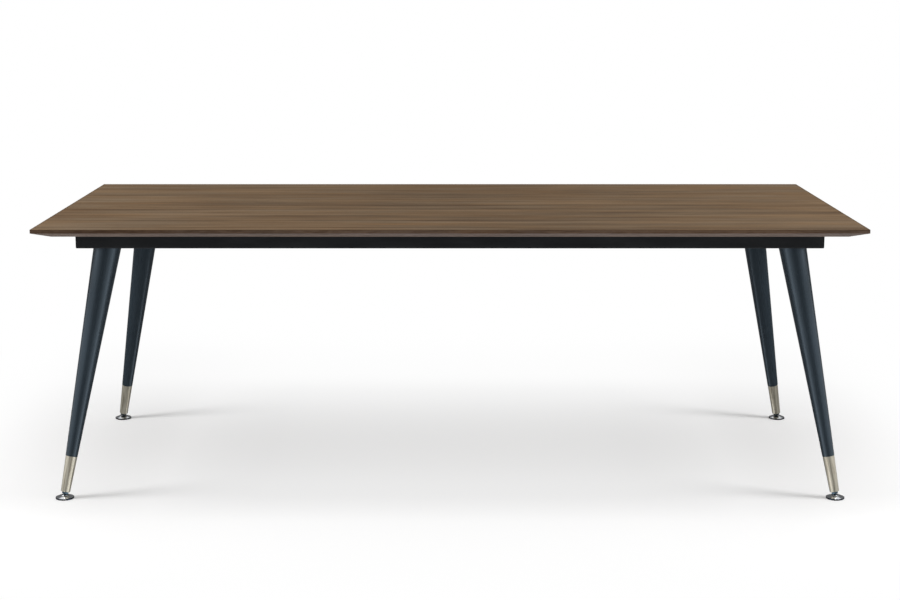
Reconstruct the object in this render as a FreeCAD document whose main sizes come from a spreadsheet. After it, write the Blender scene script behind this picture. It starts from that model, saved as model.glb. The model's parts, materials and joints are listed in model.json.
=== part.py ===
# Dining table: under-bevelled veneered top on a slim steel frame, four splayed turned legs with
# metal ferrules, and a ball-jointed levelling foot under each leg.
# Origin: middle of the table at floor level. X is the length, Y the depth (front at -Y), Z is up.
import FreeCAD, Part
import os
import re

import Sketcher
from FreeCAD import Placement, Rotation, Vector

doc = FreeCAD.newDocument("dining_table")

# Driving dimensions, in millimetres
SIZES = {
    # tabletop
    "table_length": 2200,
    "table_depth": 1000,
    "table_height": 750,
    "edge_height": 10,
    "bevel_height": 15,
    "bevel_width": 45,
    "lipping_width": 60,
    "veneer_thickness": 0.6,
    # frame
    "frame_inset": 98,
    "rail_height": 40,
    "rail_width": 25,
    "rail_wall": 2,
    "rail_corner": 3,
    "cross_rail_spacing": 1120,
    "corner_plate_size": 120,
    "corner_plate_thickness": 6,
    "corner_plate_cut": 40,
    # top fixings
    "tab_length": 40,
    "tab_depth": 30,
    "tab_thickness": 4,
    "screw_diameter": 5,
    "screw_length": 20,
    "screw_head_width": 8,
    "screw_head_height": 3.5,
    "hole_clearance": 0.2,
    # legs
    "leg_top_inset": 170,
    "foot_end_inset": 48,
    "foot_side_inset": 66,
    "leg_top_diameter": 74,
    "leg_end_diameter": 32.5,
    "tenon_diameter": 20,
    "tenon_length": 64,
    "leg_screw_diameter": 10,
    "leg_screw_length": 60,
    "leg_screw_head_width": 17,
    "leg_screw_head_height": 7,
    # ferrules
    "ferrule_length": 99,
    "ferrule_top_diameter": 31.6,
    "ferrule_end_diameter": 25.4,
    "ferrule_chamfer": 1,
    # levelling feet
    "thread_diameter": 10,
    "thread_clearance": 0.3,
    "thread_length": 33,
    "collar_width": 17,
    "collar_height": 4.2,
    "collar_gap": 1.2,
    "collar_clearance": 0.4,
    "neck_diameter": 6,
    "ball_diameter": 10,
    "ball_flat_diameter": 6,
    "ball_clearance": 0.3,
    "socket_web": 2.2,
    "disc_diameter": 50,
    "boss_diameter": 20,
    "rim_height": 3.6,
    "rim_chamfer": 0.7,
    "pad_diameter": 46,
    "pad_thickness": 1,
    # cutters run past the solids that they cut
    "overrun": 5,
}

sheet = doc.addObject("Spreadsheet::Sheet", "Sizes")
for row, (alias, number) in enumerate(SIZES.items(), start=1):
    sheet.set(f"A{row}", alias)
    sheet.set(f"B{row}", str(number))
    sheet.setAlias(f"B{row}", alias)
doc.recompute()

# Places of the top fixings along a long rail, as shares of the frame's length
TAB_PLACE_SHARES = (-0.4, 0, 0.4)
# How far the socket's mouth stands above the ball's centre, as a share of the ball's diameter
SOCKET_COVER_SHARE = 0.25

# Derived sizes, as formulas over the driving dimensions
TOP_UNDERSIDE = "(table_height - edge_height - bevel_height)"
RAIL_UNDERSIDE = f"({TOP_UNDERSIDE} - rail_height)"
FRAME_LENGTH = "(table_length - 2 * frame_inset)"
FRAME_DEPTH = "(table_depth - 2 * frame_inset)"
BALL_HEIGHT = "(pad_thickness + socket_web + ball_clearance + ball_diameter / 2)"
SOCKET_RADIUS = "(ball_diameter / 2 + ball_clearance)"
SOCKET_COVER = f"(ball_diameter * {SOCKET_COVER_SHARE})"

# The leg's axis runs from the ball's centre up to the middle of the leg's level top
SPLAY_X = "(leg_top_inset - foot_end_inset)"
SPLAY_Y = "(leg_top_inset - foot_side_inset)"
LEG_RUN = f"sqrt({SPLAY_X}^2 + {SPLAY_Y}^2)"
LEG_RISE = f"({RAIL_UNDERSIDE} - {BALL_HEIGHT})"
AXIS_LENGTH = f"sqrt({SPLAY_X}^2 + {SPLAY_Y}^2 + {LEG_RISE}^2)"

# Stations along that axis, measured from the ball's centre
COLLAR_CORNER = "(collar_width / sqrt(3))"
COLLAR_START = (f"(({SOCKET_COVER} + collar_clearance) * {AXIS_LENGTH} / {LEG_RISE}"
                f" + {COLLAR_CORNER} * {LEG_RUN} / {LEG_RISE})")
FERRULE_START = f"({COLLAR_START} + collar_height + collar_gap)"
FERRULE_END = f"({FERRULE_START} + ferrule_length)"
LEG_SLOPE = f"((leg_top_diameter - leg_end_diameter) / 2 / ({AXIS_LENGTH} - {FERRULE_END}))"
# The leg is drawn this far past the middle of its top, then cut level
CONE_EXCESS = "(leg_top_diameter / 2)"

ALIASES = sorted(SIZES, key=len, reverse=True)
ALIAS_PATTERN = re.compile(r"\b(" + "|".join(ALIASES) + r")\b")

parts = []


def formula(text):
    """The expression that the document keeps: every alias is read from the sheet."""
    return ALIAS_PATTERN.sub(r"Sizes.\1", text)


def size(text):
    """The present number of a formula."""
    return float(sheet.evalExpression(formula(text)))


def bind(thing, **formulas):
    """Bind an object's properties to formulas over the sheet."""
    for name, text in formulas.items():
        thing.setExpression(name, formula(text))


def move_to(thing, x="0", y="0", z="0"):
    """Bind an object's place to formulas over the sheet."""
    for letter, text in (("x", x), ("y", y), ("z", z)):
        thing.setExpression(f"Placement.Base.{letter}", formula(text))


def finish(thing, label):
    """Name a finished sub-part and keep it for the export."""
    thing.Label = label
    parts.append(thing)
    return thing


# Sketches

def arc_centre(start, end, radius):
    """Centre of the arc under half a circle from start to end, turning left if radius is positive."""
    chord = end - start
    middle = (start + end) * 0.5
    left = Vector(-chord.y, chord.x, 0).normalize()
    reach = max(radius ** 2 - (chord.Length / 2) ** 2, 0) ** 0.5
    return middle + left * reach * (1 if radius > 0 else -1)


def add_outline(sketch, corners):
    """Add a closed outline. A corner is (x, y), or (x, y, radius) where an arc leaves it: a
    positive radius turns left, a negative one right. Every corner is bound to its formulas."""
    points = [Vector(size(corner[0]), size(corner[1]), 0) for corner in corners]
    first = sketch.GeometryCount
    ends = []
    for index, corner in enumerate(corners):
        start, end = points[index], points[(index + 1) % len(points)]
        if len(corner) == 2:
            sketch.addGeometry(Part.LineSegment(start, end))
            ends.append((1, 2))
            continue
        radius = size(corner[2])
        centre = arc_centre(start, end, radius)
        low, high = (start, end) if radius > 0 else (end, start)
        circle = Part.Circle(centre, Vector(0, 0, 1), abs(radius))
        sketch.addGeometry(Part.ArcOfCircle(circle, circle.parameter(low), circle.parameter(high)))
        ends.append((1, 2) if radius > 0 else (2, 1))
    count = len(corners)
    for index in range(count):
        after = (index + 1) % count
        joint = Sketcher.Constraint("Coincident", first + index, ends[index][1],
                                    first + after, ends[after][0])
        sketch.addConstraint(joint)
    for index, corner in enumerate(corners):
        edge, end = first + index, ends[index][0]
        for kind, axis, text, number in (("DistanceX", -2, corner[0], points[index].x),
                                         ("DistanceY", -1, corner[1], points[index].y)):
            if text == "0":
                sketch.addConstraint(Sketcher.Constraint("PointOnObject", edge, end, axis))
                continue
            place = sketch.addConstraint(Sketcher.Constraint(kind, -1, 1, edge, end, number))
            sketch.setExpression(f"Constraints[{place}]", formula(text))
        if len(corner) == 3:
            bend = Sketcher.Constraint("Radius", edge, abs(size(corner[2])))
            place = sketch.addConstraint(bend)
            sketch.setExpression(f"Constraints[{place}]", formula(f"abs({corner[2]})"))


def new_sketch(body, name, plane, *outlines):
    """A sketch on one of the body's own origin planes."""
    sketch = body.newObject("Sketcher::SketchObject", name)
    origin_plane = next(item for item in body.Origin.OriginFeatures if item.Role == plane)
    sketch.AttachmentSupport = [(origin_plane, "")]
    sketch.MapMode = "FlatFace"
    for corners in outlines:
        add_outline(sketch, corners)
    doc.recompute()
    return sketch


def rectangle(x_low, x_high, y_low, y_high):
    return [(x_low, y_low), (x_high, y_low), (x_high, y_high), (x_low, y_high)]


def rounded_rectangle(x_low, x_high, y_low, y_high, radius):
    """Counter-clockwise, with an arc of the given radius at each corner."""
    return [
        (f"{x_low} + {radius}", y_low),
        (f"{x_high} - {radius}", y_low, radius),
        (x_high, f"{y_low} + {radius}"),
        (x_high, f"{y_high} - {radius}", radius),
        (f"{x_high} - {radius}", y_high),
        (f"{x_low} + {radius}", y_high, radius),
        (x_low, f"{y_high} - {radius}"),
        (x_low, f"{y_low} + {radius}", radius),
    ]


def hexagon(width):
    """Six corners, with two of them on the X axis and the given width across the flats."""
    corner, flat = f"{width} / sqrt(3)", f"{width} / 2"
    half = f"{width} / sqrt(3) / 2"
    return [(corner, "0"), (half, flat), (f"-{half}", flat),
            (f"-{corner}", "0"), (f"-{half}", f"-{flat}"), (half, f"-{flat}")]


# Features

def new_body(name):
    return doc.addObject("PartDesign::Body", name)


def pad(body, name, sketch, length, symmetric=False):
    feature = body.newObject("PartDesign::Pad", name)
    feature.Profile = sketch
    feature.SideType = "Symmetric" if symmetric else "One side"
    bind(feature, Length=length)
    doc.recompute()
    return feature


def pocket_through(body, name, sketch):
    """Cut a sketch right through the body, both ways."""
    before = body.Shape.Volume
    feature = body.newObject("PartDesign::Pocket", name)
    feature.Profile = sketch
    feature.SideType = "Symmetric"
    feature.Type = "ThroughAll"
    doc.recompute()
    if body.Shape.Volume >= before:
        raise RuntimeError(f"{name} cuts nothing")
    return feature


def revolve(body, name, sketch):
    """Turn a sketch of the XZ plane about the body's Z axis."""
    feature = body.newObject("PartDesign::Revolution", name)
    feature.Profile = sketch
    feature.ReferenceAxis = (sketch, ["V_Axis"])
    doc.recompute()
    return feature


def box(name, length, width, height):
    """A box that stands on z = 0 with its middle over the origin."""
    solid = doc.addObject("Part::Box", name)
    bind(solid, Length=length, Width=width, Height=height)
    move_to(solid, f"-{length} / 2", f"-{width} / 2")
    return solid


def cylinder(name, diameter, height, z="0"):
    solid = doc.addObject("Part::Cylinder", name)
    bind(solid, Radius=f"{diameter} / 2", Height=height)
    move_to(solid, z=z)
    return solid


def prism(name, width, height, z="0"):
    """A hexagonal prism of the given width across its flats."""
    solid = doc.addObject("Part::Prism", name)
    bind(solid, Circumradius=f"{width} / sqrt(3)", Height=height)
    move_to(solid, z=z)
    return solid


def cut(name, base, tool):
    solid = doc.addObject("Part::Cut", name)
    solid.Base = base
    solid.Tool = tool
    return solid


def fuse(name, base, tool):
    solid = doc.addObject("Part::Fuse", name)
    solid.Base = base
    solid.Tool = tool
    return solid


def copies(name, solid, places):
    """A group of links to one solid, each at its own place and turned about Z by its own angle."""
    links = []
    for number, (x, y, z, angle) in enumerate(places, start=1):
        link = doc.addObject("App::Link", f"{name}_{number}")
        link.LinkedObject = solid
        link.LinkTransform = True
        link.Placement = Placement(Vector(), Rotation(Vector(0, 0, 1), angle))
        move_to(link, x, y, z)
        links.append(link)
    group = doc.addObject("Part::Compound", name)
    group.Links = links
    return group


# The four sides and the four corners
SIDES = (("front", "table_length", "table_depth", 0),
         ("right", "table_depth", "table_length", 90),
         ("back", "table_length", "table_depth", 180),
         ("left", "table_depth", "table_length", 270))
CORNERS = (("front_left", -1, -1, 0),
           ("front_right", 1, -1, 90),
           ("back_right", 1, 1, 180),
           ("back_left", -1, 1, 270))


def mitred_bar(label, profile, length, width, angle, offset, height):
    """A bar along X whose outer edge lies on the local X axis, cut at 45 degrees at both ends,
    then turned about Z and set on its side of the table."""
    body = new_body(label)
    outline = new_sketch(body, f"{label}_section", "YZ_Plane", *profile)
    pad(body, f"{label}_length", outline, length, symmetric=True)
    mitres = []
    for side in ("", "-"):
        tip = f"{side}({length} / 2 + overrun)"
        mitres.append([(tip, "-overrun"), (tip, f"{width} + overrun"),
                       (f"{side}({length} / 2 - {width} - overrun)", f"{width} + overrun")])
    ends = new_sketch(body, f"{label}_mitres", "XY_Plane", *mitres)
    pocket_through(body, f"{label}_ends", ends)
    turn = Rotation(Vector(0, 0, 1), angle)
    body.Placement = Placement(turn.multVec(Vector(0, -size(offset), size(height))), turn)
    return finish(body, label)


# Tabletop: a board core inside solid lippings, faced above and backed below

def lipping_profile():
    """Section of a lipping: square above, cut back underneath by the long bevel."""
    top = "edge_height + bevel_height - veneer_thickness"
    return [("bevel_width", "0"), ("lipping_width", "0"), ("lipping_width", top), ("0", top),
            ("0", "bevel_height")]


def make_lippings():
    for side, length, depth, angle in SIDES:
        mitred_bar(f"{side}_lipping", [lipping_profile()], length, "lipping_width", angle,
                   f"{depth} / 2", TOP_UNDERSIDE)


CORE_LENGTH = "(table_length - 2 * lipping_width)"
CORE_DEPTH = "(table_depth - 2 * lipping_width)"
CORE_HEIGHT = "(edge_height + bevel_height - 2 * veneer_thickness)"


def board(name, length, depth, thickness, height):
    """A flat sheet over the middle of the table, with its underside at the given height."""
    solid = box(name, length, depth, thickness)
    solid.setExpression("Placement.Base.z", formula(height))
    return solid


def make_boards():
    """The face veneer runs over the lippings; the core and the backing stop inside them."""
    finish(board("tabletop_core", CORE_LENGTH, CORE_DEPTH, CORE_HEIGHT,
                 f"{TOP_UNDERSIDE} + veneer_thickness"), "tabletop_core")
    finish(board("backing_veneer", CORE_LENGTH, CORE_DEPTH, "veneer_thickness", TOP_UNDERSIDE),
           "backing_veneer")
    finish(board("face_veneer", "table_length", "table_depth", "veneer_thickness",
                 "table_height - veneer_thickness"), "face_veneer")


# Frame: rectangular steel tube with mitred corners, two cross rails and four corner plates

def tube_profile(y_low):
    """Outer and inner outline of the rail's tube, standing on z = 0."""
    y_high = f"{y_low} + rail_width"
    outer = rounded_rectangle(y_low, y_high, "0", "rail_height", "rail_corner")
    inner = rectangle(f"{y_low} + rail_wall", f"{y_high} - rail_wall", "rail_wall",
                      "rail_height - rail_wall")
    return [outer, inner]


def make_rails():
    for side, length, depth, angle in SIDES:
        mitred_bar(f"{side}_rail", tube_profile("0"), f"({length} - 2 * frame_inset)",
                   "rail_width", angle, f"{depth} / 2 - frame_inset", RAIL_UNDERSIDE)
    for side, sign in (("left", -1), ("right", 1)):
        label = f"{side}_cross_rail"
        body = new_body(label)
        outline = new_sketch(body, f"{label}_section", "YZ_Plane", *tube_profile("-rail_width / 2"))
        pad(body, f"{label}_length", outline, f"{FRAME_DEPTH} - 2 * rail_width", symmetric=True)
        place = Vector(sign * size("cross_rail_spacing / 2"), 0, size(RAIL_UNDERSIDE))
        body.Placement = Placement(place, Rotation(Vector(0, 0, 1), 90))
        finish(body, label)


def make_corner_plate(label, across, along, angle):
    """A plate let into the frame's inner corner, flush with its underside, with the free corner
    cut off and a hole for the leg's screw."""
    body = new_body(f"{label}_plate_blank")
    reach = "corner_plate_size"
    outline = new_sketch(body, f"{label}_plate_outline", "XY_Plane",
                         [("0", "0"), (reach, "0"), (reach, f"{reach} - corner_plate_cut"),
                          (f"{reach} - corner_plate_cut", reach), ("0", reach)])
    pad(body, f"{label}_plate_thickness", outline, "corner_plate_thickness")
    body.Placement = Placement(Vector(across * size(f"{FRAME_LENGTH} / 2 - rail_width"),
                                      along * size(f"{FRAME_DEPTH} / 2 - rail_width"),
                                      size(RAIL_UNDERSIDE)),
                               Rotation(Vector(0, 0, 1), angle))
    bore = cylinder(f"{label}_plate_bore", "leg_screw_diameter + 2 * hole_clearance",
                    "corner_plate_thickness + 2 * overrun")
    x, y = leg_top_place(across, along)
    move_to(bore, x, y, f"{RAIL_UNDERSIDE} - overrun")
    finish(cut(f"{label}_corner_plate", body, bore), f"{label}_corner_plate")


# Fixings: hexagon-head screws, drawn with the underside of the head at z = 0

def make_screw(name, diameter, length, head_width, head_height, direction):
    """The shank points up or down from the head."""
    if direction == "up":
        head_start, shank_start = f"-{head_height}", "0"
    else:
        head_start, shank_start = "0", f"-{length}"
    return fuse(name, prism(f"{name}_head", head_width, head_height, head_start),
                cylinder(f"{name}_shank", diameter, length, shank_start))


def fixing_places(inset, height):
    """Three places along each long rail and one at the middle of each end rail, the given inset
    in from the outside of the frame."""
    y, x = f"({FRAME_DEPTH} / 2 - {inset})", f"({FRAME_LENGTH} / 2 - {inset})"
    along_front = [(f"{FRAME_LENGTH} * {share}", f"-{y}", height, 0) for share in TAB_PLACE_SHARES]
    along_back = [(f"{FRAME_LENGTH} * {share}", y, height, 180) for share in TAB_PLACE_SHARES]
    at_ends = [(x, "0", height, 90), (f"-{x}", "0", height, 270)]
    return along_front + along_back + at_ends


def make_top_fixings():
    """Tabs welded inside the rails, each with an open slot that lets the board shrink and swell,
    and wood screws up through them into the board."""
    slot_width = "(screw_diameter + 2 * hole_clearance)"
    blank = box("tab_blank", "tab_length", "tab_depth", "tab_thickness")
    slot_end = cylinder("tab_slot_end", slot_width, "tab_thickness + 2 * overrun", "-overrun")
    slot = box("tab_slot", slot_width, "tab_depth / 2 + overrun", "tab_thickness + 2 * overrun")
    move_to(slot, f"-{slot_width} / 2", "0", "-overrun")
    tab = cut("tab", blank, fuse("tab_slot_cutter", slot_end, slot))
    inset = "(rail_width + tab_depth / 2)"
    under_tab = f"{TOP_UNDERSIDE} - tab_thickness"
    finish(copies("top_fixing_tabs", tab, fixing_places(inset, under_tab)), "top_fixing_tabs")
    screw = make_screw("top_screw", "screw_diameter", "screw_length", "screw_head_width",
                       "screw_head_height", "up")
    finish(copies("top_screws", screw, fixing_places(inset, under_tab)), "top_screws")


def leg_top_place(across, along):
    """The middle of a leg's level top."""
    return (f"{across} * (table_length / 2 - leg_top_inset)",
            f"{along} * (table_depth / 2 - leg_top_inset)")


def make_leg_screws():
    """One coach screw down through each corner plate into the top of the leg."""
    screw = make_screw("leg_screw", "leg_screw_diameter", "leg_screw_length",
                       "leg_screw_head_width", "leg_screw_head_height", "down")
    height = f"{RAIL_UNDERSIDE} + corner_plate_thickness"
    places = [(*leg_top_place(across, along), height, 0) for label, across, along, angle in CORNERS]
    finish(copies("leg_screws", screw, places), "leg_screws")


# Legs: everything here is drawn upright about the leg's own axis, then leaned into place

def leg_placement(across, along):
    """From the upright leg to its place: the origin goes to the ball's centre, Z along the leg's
    axis and X to the side that the leg leans to."""
    foot = Vector(across * size("table_length / 2 - foot_end_inset"),
                  along * size("table_depth / 2 - foot_side_inset"), size(BALL_HEIGHT))
    top = Vector(across * size("table_length / 2 - leg_top_inset"),
                 along * size("table_depth / 2 - leg_top_inset"), size(RAIL_UNDERSIDE))
    axis = (top - foot).normalize()
    lean = Vector(axis.x, axis.y, 0).normalize()
    inward = lean - axis * lean.dot(axis)
    return Placement(foot, Rotation(inward.normalize(), Vector(), axis, "ZXY"))


def level_cut(body, name):
    """Cut away what lies above the level plane through the middle of the leg's top. In the
    upright leg that plane rises towards X by the leg's lean."""
    slope = f"{LEG_RUN} / {LEG_RISE}"
    reach = "(leg_top_diameter + overrun)"
    corners = [(f"-{reach}", f"{AXIS_LENGTH} - {reach} * {slope}"),
               (reach, f"{AXIS_LENGTH} + {reach} * {slope}"),
               (reach, f"{AXIS_LENGTH} + {reach}"),
               (f"-{reach}", f"{AXIS_LENGTH} + {reach}")]
    pocket_through(body, name, new_sketch(body, f"{name}_outline", "XZ_Plane", corners))


def make_leg(label, placement):
    """A turned tapered leg with a tenon for the ferrule at its thin end and a level top."""
    body = new_body(f"{label}_leg")
    end = f"({AXIS_LENGTH} + {CONE_EXCESS})"
    tenon_end = f"({FERRULE_END} - tenon_length)"
    outline = [("0", tenon_end),
               ("tenon_diameter / 2", tenon_end),
               ("tenon_diameter / 2", FERRULE_END),
               ("leg_end_diameter / 2", FERRULE_END),
               (f"leg_end_diameter / 2 + ({end} - {FERRULE_END}) * {LEG_SLOPE}", end),
               ("0", end)]
    revolve(body, f"{label}_leg_turning",
            new_sketch(body, f"{label}_leg_outline", "XZ_Plane", outline))
    level_cut(body, f"{label}_leg_mitre")
    body.Placement = placement
    finish(body, f"{label}_leg")


def make_ferrule(label, placement):
    """A turned sleeve that carries on the leg's taper: bored for the tenon from above and tapped
    for the foot from below."""
    body = new_body(f"{label}_ferrule")
    tip = "ferrule_end_diameter / 2"
    tapped = "thread_diameter / 2 + thread_clearance"
    step = f"({FERRULE_END} - tenon_length)"
    wall = [(tapped, FERRULE_START),
            (f"{tip} - ferrule_chamfer", FERRULE_START),
            (tip, f"{FERRULE_START} + ferrule_chamfer"),
            ("ferrule_top_diameter / 2", FERRULE_END),
            ("tenon_diameter / 2", FERRULE_END),
            ("tenon_diameter / 2", step),
            (tapped, step)]
    revolve(body, f"{label}_ferrule_turning",
            new_sketch(body, f"{label}_ferrule_wall", "XZ_Plane", wall))
    body.Placement = placement
    finish(body, f"{label}_ferrule")


# Levelling feet

def make_stem(label, placement):
    """Ball, neck, hexagon collar and threaded shank in one piece."""
    body = new_body(f"{label}_foot_stem")
    ball, flat = "(ball_diameter / 2)", "(ball_flat_diameter / 2)"
    neck, thread = "(neck_diameter / 2)", "(thread_diameter / 2)"
    flat_height = f"-sqrt({ball}^2 - {flat}^2)"
    top = f"({COLLAR_START} + collar_height + thread_length)"
    outline = [("0", flat_height),
               (flat, flat_height, ball),
               (neck, f"sqrt({ball}^2 - {neck}^2)"),
               (neck, COLLAR_START),
               (thread, COLLAR_START),
               (thread, top),
               ("0", top)]
    revolve(body, f"{label}_stem_turning",
            new_sketch(body, f"{label}_stem_outline", "XZ_Plane", outline))
    collar = new_sketch(body, f"{label}_collar_outline", "XY_Plane", hexagon("collar_width"))
    collar.setExpression("AttachmentOffset.Base.z", formula(COLLAR_START))
    pad(body, f"{label}_collar", collar, "collar_height")
    body.Placement = placement
    finish(body, f"{label}_foot_stem")


def make_disc(label, place):
    """The foot disc: a low cone on a flat rim, and a socket for the ball whose lip is closed in
    over it."""
    body = new_body(f"{label}_foot_disc")
    rim = "disc_diameter / 2"
    rim_top = "pad_thickness + rim_height"
    lip_top = f"{BALL_HEIGHT} + {SOCKET_COVER}"
    outline = [("0", "pad_thickness"),
               (rim, "pad_thickness"),
               (rim, f"{rim_top} - rim_chamfer"),
               (f"{rim} - rim_chamfer", rim_top),
               ("boss_diameter / 2", lip_top),
               (f"sqrt({SOCKET_RADIUS}^2 - {SOCKET_COVER}^2)", lip_top),
               (SOCKET_RADIUS, BALL_HEIGHT),
               (SOCKET_RADIUS, f"{BALL_HEIGHT} - {SOCKET_RADIUS}"),
               ("0", f"{BALL_HEIGHT} - {SOCKET_RADIUS}")]
    revolve(body, f"{label}_disc_turning",
            new_sketch(body, f"{label}_disc_outline", "XZ_Plane", outline))
    body.Placement = Placement(place, Rotation())
    finish(body, f"{label}_foot_disc")


def make_pad(label, across, along):
    glide = cylinder(f"{label}_foot_pad", "pad_diameter", "pad_thickness")
    move_to(glide, f"{across} * (table_length / 2 - foot_end_inset)",
            f"{along} * (table_depth / 2 - foot_side_inset)")
    finish(glide, f"{label}_foot_pad")


make_boards()
make_lippings()
make_rails()
make_top_fixings()
make_leg_screws()
for corner, across, along, angle in CORNERS:
    make_corner_plate(corner, across, along, angle)
    leaned = leg_placement(across, along)
    make_leg(corner, leaned)
    make_ferrule(corner, leaned)
    make_stem(corner, leaned)
    make_disc(corner, Vector(leaned.Base.x, leaned.Base.y, 0))
    make_pad(corner, across, along)
doc.recompute()

# Nothing is written unless every object is sound
for thing in doc.Objects:
    if "Invalid" in thing.State or "Error" in thing.State:
        raise RuntimeError(f"{thing.Label} failed: {thing.State}")
for thing in parts:
    if thing.Shape.isNull() or not thing.Shape.isValid() or not thing.Shape.Solids:
        raise RuntimeError(f"{thing.Label} has no sound shape")

os.makedirs("parts", exist_ok=True)
for thing in parts:
    thing.Shape.exportStep(f"parts/{thing.Label}.step")
print(len(parts), "sub-parts written")
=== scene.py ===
import json
from collections import namedtuple
from math import atan2, ceil, cos, pi, sin, sqrt

import bmesh
import bpy
from mathutils import Matrix, Vector


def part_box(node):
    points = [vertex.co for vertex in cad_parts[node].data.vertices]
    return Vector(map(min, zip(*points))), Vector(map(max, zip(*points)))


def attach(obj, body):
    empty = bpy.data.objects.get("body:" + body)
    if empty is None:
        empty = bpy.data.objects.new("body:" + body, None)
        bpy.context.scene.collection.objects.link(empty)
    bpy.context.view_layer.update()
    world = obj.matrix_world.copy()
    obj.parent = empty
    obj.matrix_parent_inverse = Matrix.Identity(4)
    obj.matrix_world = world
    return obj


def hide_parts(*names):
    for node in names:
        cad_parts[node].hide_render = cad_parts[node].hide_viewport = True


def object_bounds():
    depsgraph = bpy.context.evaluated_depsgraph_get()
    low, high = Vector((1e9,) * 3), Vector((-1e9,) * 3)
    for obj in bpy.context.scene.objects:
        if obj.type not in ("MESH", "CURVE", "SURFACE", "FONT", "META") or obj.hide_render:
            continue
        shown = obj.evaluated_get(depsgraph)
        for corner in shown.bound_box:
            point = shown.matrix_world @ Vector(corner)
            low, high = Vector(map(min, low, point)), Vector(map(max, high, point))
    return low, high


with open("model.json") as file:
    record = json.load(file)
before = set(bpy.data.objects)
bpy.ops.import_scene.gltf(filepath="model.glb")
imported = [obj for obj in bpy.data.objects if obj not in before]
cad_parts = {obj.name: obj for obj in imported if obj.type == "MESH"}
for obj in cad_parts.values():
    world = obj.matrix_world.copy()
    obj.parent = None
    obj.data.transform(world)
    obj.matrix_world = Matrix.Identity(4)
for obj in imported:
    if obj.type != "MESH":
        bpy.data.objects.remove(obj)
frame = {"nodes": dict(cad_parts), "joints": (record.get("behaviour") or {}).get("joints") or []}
bpy.context.view_layer.update()
cad_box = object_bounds()

nodes = frame["nodes"]
joints = {joint["name"]: joint for joint in frame["joints"]}
CORNERS = ("front_left", "front_right", "back_right", "back_left")
MM = 0.001
# Places on a node that are nearer than this are the same
SAME_PLACE = 0.01 * MM
# A node's vertices within this of an end or an outer face belong to it
EDGE_ZONE = 1 * MM
# Vertices of a new mesh that are nearer than this are one
SAME_POINT = 1e-7

# Camera, at the photograph's viewpoint
CAMERA_PLACE = (0, -5.013, 1.413)
CAMERA_PITCH = 0.1861
CAMERA_LENS = 69.7
SENSOR_WIDTH = 36


def make_camera():
    data = bpy.data.cameras.new("camera")
    data.sensor_width = SENSOR_WIDTH
    data.lens = CAMERA_LENS
    camera = bpy.data.objects.new("camera", data)
    camera.location = CAMERA_PLACE
    camera.rotation_euler = (pi / 2 - CAMERA_PITCH, 0, 0)
    bpy.context.scene.collection.objects.link(camera)
    bpy.context.scene.camera = camera


# Materials

# A layer of noise: its cells in a metre along each of three axes, its detail and its roughness
Layer = namedtuple("Layer", "x y z detail roughness", defaults=(0.5,))
# Most of a layer's noise lies in this range. The narrower one gives more contrast.
NOISE_RANGE = (0.3, 0.7)
NOISE_MIDDLE = (0.35, 0.65)
NOISE_MEAN = 0.5
WHITE = (1, 1, 1)


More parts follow.
